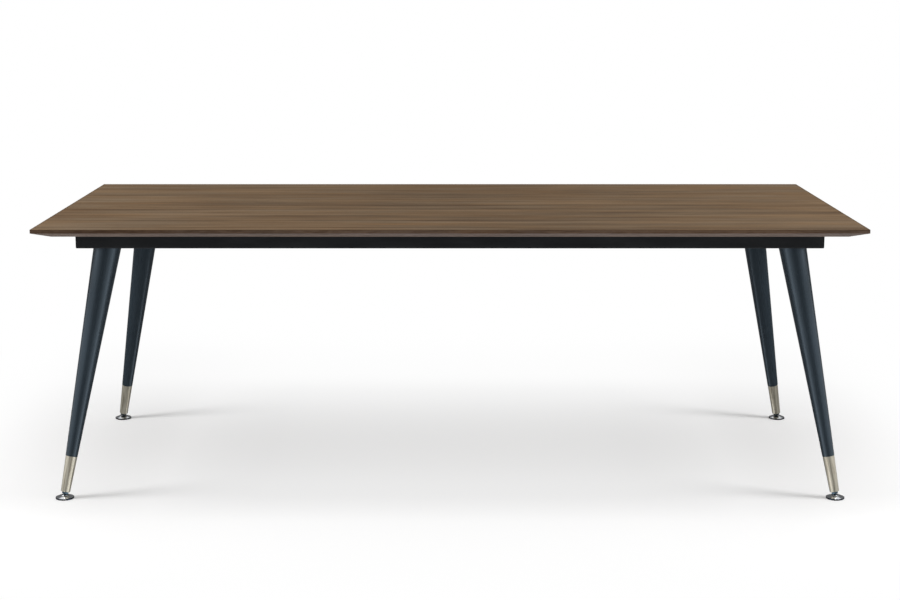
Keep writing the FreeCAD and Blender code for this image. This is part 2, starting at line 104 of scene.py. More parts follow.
class Graph:
    """One node tree, a new material's or one that is given, built by short calls. A value given
    to a node may be a number, a colour or the output of another node."""

    def __init__(self, name=None, tree=None):
        if name:
            self.material = bpy.data.materials.new(name)
            self.material.use_nodes = True
            tree = self.material.node_tree
        self.tree = tree
        self.shader = tree.nodes.get("Principled BSDF")

    def feed(self, socket, value):
        if isinstance(value, bpy.types.NodeSocket):
            self.tree.links.new(value, socket)
        elif isinstance(value, tuple) and len(value) == 3 and len(socket.default_value) == 4:
            socket.default_value = (*value, 1)
        else:
            socket.default_value = value

    def node(self, kind, inputs, **settings):
        node = self.tree.nodes.new(kind)
        for name, value in settings.items():
            setattr(node, name, value)
        for socket, value in inputs.items():
            self.feed(node.inputs[socket], value)
        return node

    def math(self, operation, *values):
        inputs = dict(enumerate(values))
        return self.node("ShaderNodeMath", inputs, operation=operation).outputs[0]

    def scaled(self, value, factor):
        return self.math("MULTIPLY", value, factor)

    def total(self, first, *others):
        """The sum of some values, added from left to right."""
        result = first
        for value in others:
            result = self.math("ADD", result, value)
        return result

    def position(self, matrix=None):
        """The point in the table's frame, or in the frame that the matrix goes to, as X, Y, Z."""
        point = self.node("ShaderNodeTexCoord", {}).outputs["Object"]
        if matrix is not None:
            inputs = {"Vector": point, "Location": matrix.to_translation(),
                      "Rotation": matrix.to_euler()}
            point = self.node("ShaderNodeMapping", inputs).outputs[0]
        return self.node("ShaderNodeSeparateXYZ", {"Vector": point}).outputs

    def noise(self, place, layer):
        """A layer's noise over the three coordinates of a place."""
        x, y, z = (self.scaled(value, cells) for value, cells in zip(place, layer[:3]))
        point = self.node("ShaderNodeCombineXYZ", {"X": x, "Y": y, "Z": z}).outputs[0]
        inputs = {"Vector": point, "Scale": 1, "Detail": layer.detail, "Roughness": layer.roughness}
        return self.node("ShaderNodeTexNoise", inputs).outputs["Fac"]

    def spread(self, value, low, high, to_low=0, to_high=1, smooth=True):
        """The value, stretched from one range to another and held inside it."""
        inputs = {"Value": value, "From Min": low, "From Max": high,
                  "To Min": to_low, "To Max": to_high}
        kind = "SMOOTHSTEP" if smooth else "LINEAR"
        return self.node("ShaderNodeMapRange", inputs, interpolation_type=kind).outputs[0]

    def ramp(self, value, *stops):
        """A colour from the value: stops are (place, colour)."""
        node = self.node("ShaderNodeValToRGB", {"Fac": value})
        elements = node.color_ramp.elements
        while len(elements) < len(stops):
            elements.new(1)
        for element, (place, colour) in zip(elements, stops):
            element.position = place
            element.color = (*colour, 1)
        return node.outputs[0]

    def between(self, value, span, first, second):
        """A colour that goes from the first to the second over a span of the value."""
        return self.ramp(value, (span[0], first), (span[1], second))

    def curve(self, value, points):
        """A smooth curve through about these (value, result) points."""
        start, end = points[0][0], points[-1][0]
        share = self.spread(value, start, end, smooth=False)
        stops = [((at - start) / (end - start), (result,) * 3) for at, result in points]
        output = self.ramp(share, *stops)
        output.node.color_ramp.interpolation = "B_SPLINE"
        return output

    def mix(self, factor, first, second, blend="MIX"):
        node = self.tree.nodes.new("ShaderNodeMix")
        node.data_type = "RGBA"
        node.blend_type = blend
        self.feed(node.inputs[0], factor)
        self.feed(node.inputs[6], first)
        self.feed(node.inputs[7], second)
        return node.outputs[2]

    def tinted(self, colour, tint):
        return self.mix(1.0, colour, tint, "MULTIPLY")

    def bump(self, height, distance):
        inputs = {"Height": height, "Distance": distance, "Strength": 1}
        return self.node("ShaderNodeBump", inputs).outputs[0]

    def finish(self, **inputs):
        """Set the shader's own sockets. A name's underscores stand for spaces."""
        for name, value in inputs.items():
            self.feed(self.shader.inputs[name.replace("_", " ")], value)
        return self.material

    def finish_with(self, shader):
        """Put another shader in the place of the material's own."""
        surface = self.tree.nodes["Material Output"].inputs["Surface"]
        self.tree.links.new(shader.outputs[0], surface)
        self.tree.nodes.remove(self.shader)
        return self.material


# Walnut, as linear colours
WALNUT_DARK = (0.074, 0.046, 0.026)
WALNUT_BROWN = (0.119, 0.081, 0.048)
WALNUT_PALE = (0.163, 0.115, 0.0715)
WALNUT_AMBER = (0.190, 0.108, 0.048)
WALNUT_STOPS = ((0.0, WALNUT_DARK), (0.42, WALNUT_BROWN), (0.8, WALNUT_PALE), (1.0, WALNUT_PALE))
WALNUT_ROUGHNESS = (0.58, 0.72)
WARM_TINT = (1.06, 0.98, 0.88)
FACE_TINT = (0.97, 0.965, 0.965)
BACKING_TINT = (1.1, 1.1, 1.1)
# Painted shade: the tint of the face's dark line along its outline
OUTLINE_SHADE_TINT = (0.70, 0.66, 0.64)
EDGE_TINT = (0.88, 0.84, 0.96)
# Painted reflection of the floor: the tint and grey that make the bevel's underside paler
BEVEL_REFLECTION_TINT = (1.9, 2.2, 2.8)
BEVEL_REFLECTION_GREY = (0.19, 0.16, 0.145)
BEVEL_REFLECTION_SHARE = 0.5
# Its layers along the grain, across it and through it, and what the large ones add to its tone
CLOUDS = Layer(2.2, 8, 6, 2)
BANDS = Layer(0.6, 33, 6, 3, 0.6)
FLECKS = Layer(5, 46, 6, 3, 0.6)
LINES = Layer(2.0, 75, 58, 3, 0.6)
STREAKS = Layer(5, 240, 240, 5, 0.65)
PORES = Layer(70, 1500, 1500, 1)
RING_WARP = Layer(1.6, 7, 6, 2)
RING_WAVES = Layer(26, 26, 170, 2, 0.55)
HUES = Layer(3.1, 14, 9, 3)
GLINTS = Layer(2.2, 30, 6, 3, 0.6)
LARGE_LAYERS = ((CLOUDS, 0.3), (BANDS, 1.15), (FLECKS, 0.62), (LINES, 0.78))
FIGURE_WEIGHT = 0.055
STREAK_WEIGHT = 0.5
WAVE_WEIGHT = 0.9
TONE_RANGE = (1.335, 2.015)
# The rings in radians per metre, and how many radians the warp moves them
RING_RATE = 420
RING_SHIFT = 46
HUE_RANGE = (0.36, 0.64)
GLINT_RANGE = (0.58, 0.74)
GLINT_SHARE = 0.5
PORE_RANGE = (0.60, 0.70)
PORE_SHARE = 0.55
RELIEF_SHARE = 0.5
# Leaves of veneer: their width, the length of log that they come from, and their change of tone
VENEER_LEAF_WIDTH = 0.142
LOG_LENGTH = 9
LEAF_TONE = 0.07
# The normal's height where the bevel's underside, painted paler as a reflection of the floor, begins
# and where it is full
UNDERSIDE_RANGE = (-0.3, -0.6)
# How far from the outline the face's painted dark shade begins to fade and is gone
OUTLINE_SHADE_RANGE = (2.5 * MM, 5 * MM)


def leaf_chance(graph, width):
    """A number from 0 to 1 for each leaf of veneer."""
    leaf = graph.math("FLOOR", graph.math("DIVIDE", width, VENEER_LEAF_WIDTH))
    chance = graph.node("ShaderNodeTexWhiteNoise", {"W": leaf}, noise_dimensions="1D")
    return chance.outputs["Value"]


def walnut_tone(graph, grain, streaks):
    """How pale the wood is, from its large layers, the figure of its rings and its streaks."""
    width, height = grain[1:]
    parts = [graph.scaled(graph.noise(grain, layer), weight) for layer, weight in LARGE_LAYERS]
    warp = graph.scaled(graph.noise(grain, RING_WARP), RING_SHIFT)
    rings = graph.total(graph.scaled(width, RING_RATE), warp, graph.scaled(height, RING_RATE))
    parts.append(graph.scaled(graph.math("SINE", rings), FIGURE_WEIGHT))
    parts.append(graph.scaled(streaks, STREAK_WEIGHT))
    return graph.total(*parts)


def walnut_colour(graph, grain, tone, pore):
    """The brown of the tone, with warm and amber patches and dark pores."""
    colour = graph.ramp(graph.spread(tone, *TONE_RANGE, smooth=False), *WALNUT_STOPS)
    hue = graph.spread(graph.noise(grain, HUES), *HUE_RANGE)
    colour = graph.mix(hue, colour, graph.tinted(colour, WARM_TINT))
    glint = graph.spread(graph.noise(grain, GLINTS), *GLINT_RANGE, 0, GLINT_SHARE)
    colour = graph.mix(glint, colour, WALNUT_AMBER)
    return graph.mix(graph.scaled(pore, PORE_SHARE), colour, WALNUT_DARK)


def underside(graph):
    """1 where the surface faces down, as the long bevel does: there the painted reflection of the floor
    goes.
    """
    normal = graph.node("ShaderNodeNewGeometry", {}).outputs["Normal"]
    facing = graph.node("ShaderNodeSeparateXYZ", {"Vector": normal}).outputs["Z"]
    return graph.spread(facing, *UNDERSIDE_RANGE)


def painted_outline_shade(graph, place):
    """1 in the last few millimetres before the tabletop's outline, where shade along the arris is
    painted darker on the face.
    """
    from_end = graph.math("SUBTRACT", cad_box[1][0], graph.math("ABSOLUTE", place["X"]))
    from_side = graph.math("SUBTRACT", cad_box[1][1], graph.math("ABSOLUTE", place["Y"]))
    return graph.spread(graph.math("MINIMUM", from_end, from_side), *OUTLINE_SHADE_RANGE, 1, 0)


def walnut(name, along, across, tint, edge=False):
    """Lacquered walnut with its grain along one axis. The tint makes the whole wood lighter or
    darker. It is veneer, laid in leaves that each have their own place in the log, with painted shade
    along its outline, unless it is a solid edge, which shows the ends of the rings as short waves and
    is painted paler and greyer underneath as a reflection of the floor."""
    graph = Graph(name)
    place = graph.position()
    length, width, height = place[along], place[across], place["Z"]
    shade = 0
    if not edge:
        chance = leaf_chance(graph, width)
        length = graph.math("ADD", length, graph.scaled(chance, LOG_LENGTH))
        shade = graph.spread(chance, 0, 1, -LEAF_TONE, LEAF_TONE, smooth=False)
    grain = (length, width, height)
    streaks = graph.noise(grain, STREAKS)
    pore = graph.spread(graph.noise(grain, PORES), *PORE_RANGE)
    tone = graph.math("ADD", walnut_tone(graph, grain, streaks), shade)
    if edge:
        waves = graph.math("SUBTRACT", graph.noise(grain, RING_WAVES), NOISE_MEAN)
        tone = graph.math("ADD", tone, graph.scaled(waves, WAVE_WEIGHT))
    colour = graph.tinted(walnut_colour(graph, grain, tone, pore), tint)
    if edge:
        # Painted reflection of the floor: the underside is paler and greyer
        pale = graph.mix(BEVEL_REFLECTION_SHARE, graph.tinted(colour, BEVEL_REFLECTION_TINT), BEVEL_REFLECTION_GREY)
        colour = graph.mix(underside(graph), colour, pale)
    else:
        # Painted shade: the face is darker along its outline
        colour = graph.mix(painted_outline_shade(graph, place), colour, graph.tinted(colour, OUTLINE_SHADE_TINT))
    relief = graph.math("SUBTRACT", graph.scaled(streaks, RELIEF_SHARE),
                        graph.scaled(pore, RELIEF_SHARE))
    return graph.finish(Base_Color=colour, Specular_IOR_Level=0.08,
                        Roughness=graph.spread(streaks, *NOISE_RANGE, *WALNUT_ROUGHNESS),
                        Normal=graph.bump(relief, distance=0.06 * MM))


# Board, powder coat and lacquer
BOARD_DARK = (0.24, 0.16, 0.10)
BOARD_PALE = (0.36, 0.26, 0.17)
BOARD_SPECKS = Layer(900, 900, 900, 4, 0.7)
COAT_DARK = (0.0096, 0.0109, 0.0130)
COAT_PALE = (0.0127, 0.0145, 0.0172)
COAT_ROUGHNESS = (0.34, 0.46)
COAT_PEEL = Layer(1100, 1100, 1100, 2)
COAT_PATCHES = Layer(7, 7, 30, 3)
LACQUER_DARK = (0.0385, 0.0553, 0.0712)
LACQUER_PALE = (0.0476, 0.0668, 0.0855)
LACQUER_ROUGHNESS = (0.24, 0.32)
LEG_GRAIN = Layer(420, 420, 9, 4, 0.6)
LEG_CLOUDS = Layer(22, 22, 5, 3)
LEG_GRAIN_SHARE = 0.35
LEG_CLOUD_SHARE = 0.65


def board_edge(name):
    """Raw fibreboard: fine pale specks."""
    graph = Graph(name)
    specks = graph.noise(graph.position(), BOARD_SPECKS)
    colour = graph.between(graph.spread(specks, *NOISE_MIDDLE), (0, 1), BOARD_DARK, BOARD_PALE)
    return graph.finish(Base_Color=colour, Roughness=0.85,
                        Normal=graph.bump(specks, distance=0.1 * MM))


def powder_coat(name):
    """Satin black powder coat, with its fine orange peel and slight patches of gloss."""
    graph = Graph(name)
    place = graph.position()
    peel = graph.noise(place, COAT_PEEL)
    patch = graph.noise(place, COAT_PATCHES)
    return graph.finish(Base_Color=graph.between(patch, NOISE_RANGE, COAT_DARK, COAT_PALE),
                        Roughness=graph.spread(patch, *NOISE_RANGE, *COAT_ROUGHNESS),
                        Normal=graph.bump(peel, distance=0.05 * MM), Specular_IOR_Level=0.3)


def leg_lacquer(name, to_leg):
    """Slate-blue satin lacquer over turned wood: the grain shows faintly along the leg."""
    graph = Graph(name)
    place = graph.position(to_leg)
    grain = graph.noise(place, LEG_GRAIN)
    cloud = graph.noise(place, LEG_CLOUDS)
    value = graph.total(graph.scaled(grain, LEG_GRAIN_SHARE), graph.scaled(cloud, LEG_CLOUD_SHARE))
    return graph.finish(Base_Color=graph.between(value, NOISE_RANGE, LACQUER_DARK, LACQUER_PALE),
                        Metallic=0.4, Specular_IOR_Level=0.25,
                        Roughness=graph.spread(value, *NOISE_RANGE, *LACQUER_ROUGHNESS),
                        Normal=graph.bump(grain, distance=0.03 * MM))


# Metals and the glide's plastic
CHAMPAGNE = (0.58, 0.55, 0.46)
CHAMPAGNE_LINE_SHARES = (0.49, 0.45, 0.39)
CHAMPAGNE_ROUGHNESS = (0.30, 0.44)
CHAMPAGNE_SPAN = (0.36, 0.54)
HAIR_LINES = Layer(1500, 1500, 22, 4, 0.7)
BROAD_LINES = Layer(270, 270, 4, 1)
HAIR_SHARE = 0.3
BROAD_SHARE = 0.7
SMEARS = Layer(90, 90, 90, 4, 0.6)
STEM_STEEL = (0.058, 0.092, 0.122)
STEM_ROUGHNESS = (0.26, 0.36)
ZINC = (0.50, 0.52, 0.54)
ZINC_ROUGHNESS = (0.34, 0.46)
PLATE_DULL_SHARE = 0.9
CHROME = (0.74, 0.76, 0.79)
CHROME_ROUGHNESS = (0.12, 0.18)
CHROME_DULL_SHARE = 0.88
# The painted dark reflection round the disc's rim: its colour, the height where it ends, and half the
# width of its fade
RIM_PAINTED_REFLECTION = (0.016, 0.025, 0.040)
RIM_HEIGHT = 4.55 * MM
RIM_FADE = 0.2 * MM
GLIDE_DARK = (0.010, 0.010, 0.011)
GLIDE_PALE = (0.022, 0.022, 0.024)
GLIDE_GRIT = Layer(1800, 1800, 1800, 2)


def brushed_metal(name, to_leg):
    """Champagne metal brushed along the leg: hair lines that vary its colour, gloss and surface."""
    graph = Graph(name)
    place = graph.position(to_leg)
    hair = graph.noise(place, HAIR_LINES)
    broad = graph.noise(place, BROAD_LINES)
    value = graph.total(graph.scaled(hair, HAIR_SHARE), graph.scaled(broad, BROAD_SHARE))
    dark = tuple(share * part for share, part in zip(CHAMPAGNE_LINE_SHARES, CHAMPAGNE))
    return graph.finish(Base_Color=graph.between(value, CHAMPAGNE_SPAN, dark, CHAMPAGNE),
                        Metallic=0.55,
                        Roughness=graph.spread(value, *NOISE_RANGE, *CHAMPAGNE_ROUGHNESS),
                        Normal=graph.bump(hair, distance=0.02 * MM))


def plain_metal(name, colour, roughness):
    """Smooth plated metal, with faint smears in its gloss."""
    graph = Graph(name)
    smear = graph.noise(graph.position(), SMEARS)
    dull = tuple(PLATE_DULL_SHARE * part for part in colour)
    return graph.finish(Base_Color=graph.between(smear, NOISE_MIDDLE, dull, colour), Metallic=1.0,
                        Roughness=graph.spread(smear, *NOISE_RANGE, *roughness))


def chrome_with_painted_rim(name):
    """Polished chrome, with a band of painted dark reflection round a foot disc's rim."""
    graph = Graph(name)
    place = graph.position()
    smear = graph.noise(place, SMEARS)
    dull = tuple(CHROME_DULL_SHARE * part for part in CHROME)
    chrome = graph.between(smear, NOISE_MIDDLE, dull, CHROME)
    # Painted dark reflection: the chrome below the rim's top is darkened
    above = graph.spread(place["Z"], RIM_HEIGHT - RIM_FADE, RIM_HEIGHT + RIM_FADE)
    return graph.finish(Base_Color=graph.mix(above, RIM_PAINTED_REFLECTION, chrome), Metallic=1.0,
                        Roughness=graph.spread(smear, *NOISE_RANGE, *CHROME_ROUGHNESS))


def glide_plastic(name):
    """Matt black plastic with a fine grit."""
    graph = Graph(name)
    grit = graph.noise(graph.position(), GLIDE_GRIT)
    return graph.finish(Base_Color=graph.between(grit, NOISE_MIDDLE, GLIDE_DARK, GLIDE_PALE),
                        Roughness=0.7, Normal=graph.bump(grit, distance=0.08 * MM))


# Nodes of the frame that keep their meshes
SOFT_SEGMENTS = 3
FACE_ROUND = 0.25 * MM
FACE_ROUND_ANGLE = 0.5
LIPPING_ROUND = 0.4 * MM
LIPPING_ROUND_ANGLE = 0.2


def dress(node, material):
    """Give a node of the frame its finish."""
    nodes[node].data.materials.clear()
    nodes[node].data.materials.append(material)


def soften(node, width, angle):
    """Round a node's edges that turn more than an angle, a little, as sanding leaves them."""
    weld = nodes[node].modifiers.new("join", "WELD")
    weld.merge_threshold = SAME_PLACE
    bevel = nodes[node].modifiers.new("soft_edges", "BEVEL")
    bevel.width = width
    bevel.segments = SOFT_SEGMENTS
    bevel.limit_method = "ANGLE"
    bevel.angle_limit = angle
    bevel.harden_normals = True


def dress_tabletop():
    """Veneer on both faces, board between them, and solid edges. What a hand touches is rounded."""
    dress("face_veneer", walnut("walnut_face", "X", "Y", FACE_TINT))
    soften("face_veneer", FACE_ROUND, FACE_ROUND_ANGLE)
    dress("backing_veneer", walnut("backing_veneer", "X", "Y", BACKING_TINT))
    dress("tabletop_core", board_edge("board_core"))
    long_edge = walnut("walnut_long_edge", "X", "Y", EDGE_TINT, edge=True)
    end_edge = walnut("walnut_end_edge", "Y", "X", EDGE_TINT, edge=True)
    for side, material in (("front", long_edge), ("back", long_edge),
                           ("left", end_edge), ("right", end_edge)):
        dress(f"{side}_lipping", material)
        soften(f"{side}_lipping", LIPPING_ROUND, LIPPING_ROUND_ANGLE)


def dress_frame():
    """Powder coat on all the frame's steel, and zinc on the screws."""
    frame_black = powder_coat("frame_black")
    coated = [f"{side}_rail" for side in ("front", "back", "left", "right")]
    coated += [f"{corner}_corner_plate" for corner in CORNERS]
    for node in (*coated, "left_cross_rail", "right_cross_rail", "top_fixing_tabs"):
        dress(node, frame_black)
    zinc = plain_metal("zinc_screws", ZINC, ZINC_ROUGHNESS)
    for node in ("top_screws", "leg_screws"):
        dress(node, zinc)


# Turned pieces
TURNED_SEGMENTS = 96
CREASE_ANGLE = 0.6


def leg_frame(corner):
    """From a leg's own frame to the table's: origin at the foot's ball, Z up along the leg's axis
    and X to the side that the leg leans to."""
    joint = joints[f"{corner}_stem_turn"]
    up = -Vector(joint["axis"]).normalized()
    level = Vector((up.x, up.y, 0)).normalized()
    inward = (level - up * level.dot(up)).normalized()
    turn = Matrix((inward, up.cross(inward), up)).transposed().to_4x4()
    return Matrix.Translation(joint["pos_m"]) @ turn


def leg_stations(corner, node):
    """The (radius, height) of each of a node's vertices in the leg's own frame."""
    to_leg = leg_frame(corner).inverted()
    found = []
    for vertex in nodes[node].data.vertices:
        point = to_leg @ vertex.co
        found.append((sqrt(point.x ** 2 + point.y ** 2), point.z))
    return found


def arc(centre, radius, start, end, steps=4):
    """Profile points along an arc, by angles from the radial direction."""
    angles = [start + (end - start) * step / steps for step in range(steps + 1)]
    return [(centre[0] + radius * cos(a), centre[1] + radius * sin(a)) for a in angles]


def ring(mesh, points):
    """New vertices round Z, evenly spaced, one for each (radius, height) point."""
    found = []
    for i, (radius, height) in enumerate(points):
        angle = 2 * pi * i / len(points)
        found.append(mesh.verts.new((radius * cos(angle), radius * sin(angle), height)))
    return found


def around(items):
    """Each item with the next one, and the last with the first."""
    return list(zip(items, items[1:] + items[:1]))


def skin(mesh, rings):
    """Faces between each ring and the next, which has as many vertices."""
    for low, high in zip(rings, rings[1:]):
        for (a, b), (c, d) in zip(around(low), around(high)):
            mesh.faces.new((a, b, d, c))


def turned(name, profile):
    """A solid of revolution about Z from (radius, height) points. A point at radius 0 is one vertex."""
    mesh = bmesh.new()
    rings = []
    for radius, height in profile:
        if radius < SAME_POINT:
            rings.append([mesh.verts.new((0, 0, height))])
        else:
            rings.append(ring(mesh, [(radius, height)] * TURNED_SEGMENTS))
    for first, second in around(rings):
        if len(first) == len(second) == 1:
            continue
        for i in range(TURNED_SEGMENTS):
            j = (i + 1) % TURNED_SEGMENTS
            corners = (first[i % len(first)], first[j % len(first)],
                       second[j % len(second)], second[i % len(second)])
            mesh.faces.new(list(dict.fromkeys(corners)))
    return solid(name, mesh)


def add_object(name, mesh):
    """An object of the scene, from a bmesh."""
    data = bpy.data.meshes.new(name)
    mesh.to_mesh(data)
    mesh.free()
    thing = bpy.data.objects.new(name, data)
    bpy.context.scene.collection.objects.link(thing)
    return thing


def solid(name, mesh):
    """An object from a bmesh, smooth but for the edges that turn more than the crease."""
    bmesh.ops.recalc_face_normals(mesh, faces=mesh.faces)
    piece = add_object(name, mesh)
    piece.data.shade_smooth()
    piece.data.set_sharp_from_angle(angle=CREASE_ANGLE)
    return piece


def add_piece(piece, matrix, body, node, material):
    """Set a piece in place of a node, on that node's body."""
    piece.data.transform(matrix)
    piece.data.materials.append(material)
    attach(piece, body)
    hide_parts(node)


# Stem: M10 with a 1.5 mm thread, hexagon collar and ball
THREAD_LEAD = 1.5 * MM
THREAD_DEPTH = 0.92 * MM
THREAD_START = 1.2 * MM
THREAD_SEGMENTS = 32
THREAD_ROWS = 10
FLANK_SLOPE = 2.6
CREST_SHARE = 0.3
NECK_RADIUS = 3 * MM
BALL_RADIUS = 5 * MM
BALL_FLAT_RADIUS = 3 * MM
BALL_STEPS = 14
# The collar: its sides, the steps to a side, how far its corners are turned off, and the share of
# the thread's radius beyond which a vertex belongs to it
COLLAR_SIDES = 6
COLLAR_STEPS = 12
COLLAR_DROP_SHARE = 0.5
COLLAR_REACH_SHARE = 1.5
# Half the angle of one of its sides
HALF_SIDE = pi / COLLAR_SIDES


def thread_radius(outer, turn, height, top):
    """Radius of a thread of about 60 degrees, with flats on its crests and in its roots and a
    tapered start."""
    phase = (height / THREAD_LEAD - turn) % 1
    flank = min(max(abs(phase - 0.5) * FLANK_SLOPE - CREST_SHARE, 0), 1)
    start = max(0, 1 - (top - height) / THREAD_START)
    return outer - THREAD_DEPTH * max(flank, start)


def add_thread(mesh, outer, low, top):
    """The thread, closed at its top. It gives back the lowest ring."""
    rows = ceil((top - low) / THREAD_LEAD * THREAD_ROWS)
    rings = []
    for row in range(rows + 1):
        height = low + (top - low) * row / rows
        rings.append(ring(mesh, [(thread_radius(outer, i / THREAD_SEGMENTS, height, top), height)
                                 for i in range(THREAD_SEGMENTS)]))
    skin(mesh, rings)
    mesh.faces.new(rings[-1])
    return rings[0]


def add_ball(mesh, neck_top):
    """The ball, cut flat below, and the neck up to the collar. It gives back the highest ring."""
    flat_angle = -atan2(sqrt(BALL_RADIUS ** 2 - BALL_FLAT_RADIUS ** 2), BALL_FLAT_RADIUS)
    neck_angle = atan2(sqrt(BALL_RADIUS ** 2 - NECK_RADIUS ** 2), NECK_RADIUS)
    profile = arc((0, 0), BALL_RADIUS, flat_angle, neck_angle, BALL_STEPS)
    profile.append((NECK_RADIUS, neck_top))
    rings = [ring(mesh, [point] * THREAD_SEGMENTS) for point in profile]
    skin(mesh, rings)
    mesh.faces.new(rings[0])
    return rings[-1]


def add_collar_end(mesh, flat_radius, height, inside, inner):
    """One end of the collar, with its corners turned off, joined to the ring inside it. It gives
    back the hexagon's outline. Inside is 1 where the collar lies above this end, or else -1."""
    count = COLLAR_SIDES * COLLAR_STEPS
    rim, face = [], []
    for i in range(count):
        angle = 2 * pi * i / count
        away = (angle + HALF_SIDE) % (2 * HALF_SIDE) - HALF_SIDE
        reach = flat_radius / cos(HALF_SIDE - abs(away))
        drop = (reach - flat_radius) * COLLAR_DROP_SHARE
        rim.append(mesh.verts.new((reach * cos(angle), reach * sin(angle), height + inside * drop)))
        face.append(mesh.verts.new((flat_radius * cos(angle), flat_radius * sin(angle), height)))
    for (rim_a, rim_b), (face_a, face_b) in zip(around(rim), around(face)):
        if (rim_a.co - face_a.co).length + (rim_b.co - face_b.co).length > SAME_POINT:
            mesh.faces.new((rim_a, rim_b, face_b, face_a))
    edges = [mesh.edges.get(pair) or mesh.edges.new(pair) for pair in around(face)]
    edges += [mesh.edges.get(pair) for pair in around(inner)]
    bmesh.ops.bridge_loops(mesh, edges=edges)
    return rim


def make_stem(corner, material):
    """The stem, from its thread down to its ball, by the heights and radii of the node's own."""
    node = f"{corner}_foot_stem"
    stations = leg_stations(corner, node)
    top = max(height for radius, height in stations)
    outer = max(radius for radius, height in stations if height > top - EDGE_ZONE)
    collar = [height for radius, height in stations if radius > COLLAR_REACH_SHARE * outer]
    collar_low, collar_high = min(collar), max(collar)
    flat_radius = max(radius for radius, height in stations) * cos(HALF_SIDE)

    mesh = bmesh.new()
    thread_foot = add_thread(mesh, outer, collar_high, top)
    neck_top = add_ball(mesh, collar_low)
    low_rim = add_collar_end(mesh, flat_radius, collar_low, 1, neck_top)
    high_rim = add_collar_end(mesh, flat_radius, collar_high, -1, thread_foot)
    skin(mesh, [low_rim, high_rim])
    bmesh.ops.remove_doubles(mesh, verts=mesh.verts, dist=SAME_POINT)
    piece = solid(f"{corner}_threaded_stem", mesh)
    add_piece(piece, leg_frame(corner), f"{corner}_stem", node, material)


# Disc: rounded rim, cone, hollow and rolled lip. Pairs are how far outwards and how far down.
RIM_ROUND = 0.6 * MM
CONE_SLOPE = 0.35
HOLLOW_START = (1.2 * MM, 0.75 * MM)
HOLLOW_END = (0.3 * MM, 0.45 * MM)
ROLL_RADIUS = 0.5 * MM
MOUTH_CHAMFER = (0.4 * MM, 0.3 * MM)


def make_disc(corner, material):
    """The foot disc, with a rounded rim and a rolled lip round its socket."""
    node = f"{corner}_foot_disc"
    low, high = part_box(node)
    middle = (low + high) / 2
    radius = (high.x - low.x) / 2
    points = [(sqrt((v.co.x - middle.x) ** 2 + (v.co.y - middle.y) ** 2), v.co.z)
              for v in nodes[node].data.vertices]
    lip = [r for r, z in points if z > high.z - SAME_PLACE]
    mouth, boss = min(lip), max(lip)
    socket = max(r for r, z in points if r < boss - EDGE_ZONE and z < high.z - EDGE_ZONE)
    wall = [z for r, z in points if abs(r - socket) < SAME_PLACE]
    socket_low, socket_high = min(wall), max(z for z in wall if z < high.z - EDGE_ZONE)
    rim_top = max(z for r, z in points if r > radius - EDGE_ZONE)
    profile = [(0, low.z)]
    profile += arc((radius - RIM_ROUND, low.z + RIM_ROUND), RIM_ROUND, -pi / 2, 0)
    profile += arc((radius - RIM_ROUND, rim_top - RIM_ROUND), RIM_ROUND, 0, pi / 2 - CONE_SLOPE)
    profile += [(boss + out, high.z - down) for out, down in (HOLLOW_START, HOLLOW_END)]
    profile += arc((boss - ROLL_RADIUS, high.z - ROLL_RADIUS), ROLL_RADIUS, 0, pi / 2)
    profile += [(mouth + MOUTH_CHAMFER[0], high.z), (mouth, high.z - MOUTH_CHAMFER[1]),
                (socket, socket_high), (socket, socket_low), (0, socket_low)]
    piece = turned(f"{corner}_chromed_disc", profile)
    add_piece(piece, Matrix.Translation((middle.x, middle.y, 0)), f"{corner}_foot", node,
              material)


# Ferrule: its rounds above and below, the chamfer of its tapped hole, and how high its tip reaches
LIP_ROUND = 0.5 * MM
TIP_ROUND = 1.4 * LIP_ROUND
TAPPED_CHAMFER = 0.6 * MM
ROUND_STEPS = 5
TIP_HEIGHT = 2 * MM


def make_ferrule(corner, material):
    """The ferrule, with softly rounded ends."""
    node = f"{corner}_ferrule"
    stations = leg_stations(corner, node)
    low = min(height for radius, height in stations)
    high = max(height for radius, height in stations)
    top_ring = [radius for radius, height in stations if height > high - SAME_PLACE]
    low_ring = [radius for radius, height in stations if height < low + SAME_PLACE]
    tip = max(radius for radius, height in stations if height < low + TIP_HEIGHT)
    tip_height = max(height for radius, height in stations
                     if abs(radius - tip) < SAME_PLACE and height < low + TIP_HEIGHT)
    bore, tapped = min(top_ring), min(low_ring)
    step = max(height for radius, height in stations if abs(radius - tapped) < SAME_PLACE)
    lean = atan2(max(top_ring) - tip, high - tip_height)
    profile = [(tapped + TAPPED_CHAMFER, low)]
    profile += arc((tip - TIP_ROUND, low + TIP_ROUND), TIP_ROUND, -pi / 2, -lean, ROUND_STEPS)
    profile += arc((max(top_ring) - LIP_ROUND, high - LIP_ROUND), LIP_ROUND, -lean, pi / 2, ROUND_STEPS)
    profile += [(bore, high), (bore, step), (tapped, step), (tapped, low + TAPPED_CHAMFER)]
    piece = turned(f"{corner}_turned_ferrule", profile)
    add_piece(piece, leg_frame(corner), "root", node, material)


def make_legs():
    """Lacquer and glide plastic on the legs and pads, and each leg's ferrule, stem and disc."""
    chrome = chrome_with_painted_rim("foot_chrome")
    stem_steel = plain_metal("stem_dark", STEM_STEEL, STEM_ROUGHNESS)
    glide = glide_plastic("glide_pad")
    for corner in CORNERS:
        to_leg = leg_frame(corner).inverted()
        dress(f"{corner}_leg", leg_lacquer(f"{corner}_leg_lacquer", to_leg))
        dress(f"{corner}_foot_pad", glide)
        make_ferrule(corner, brushed_metal(f"{corner}_ferrule_champagne", to_leg))
        make_stem(corner, stem_steel)
        make_disc(corner, chrome)


# Studio: a white floor that shows its shade round the table, cards for mirrors, and soft lamps
FLOOR_SIZE = 30
FLOOR_BOUNCE = (0.8, 0.8, 0.8)
FLOOR_SEEN = (0.98, 0.98, 0.98)
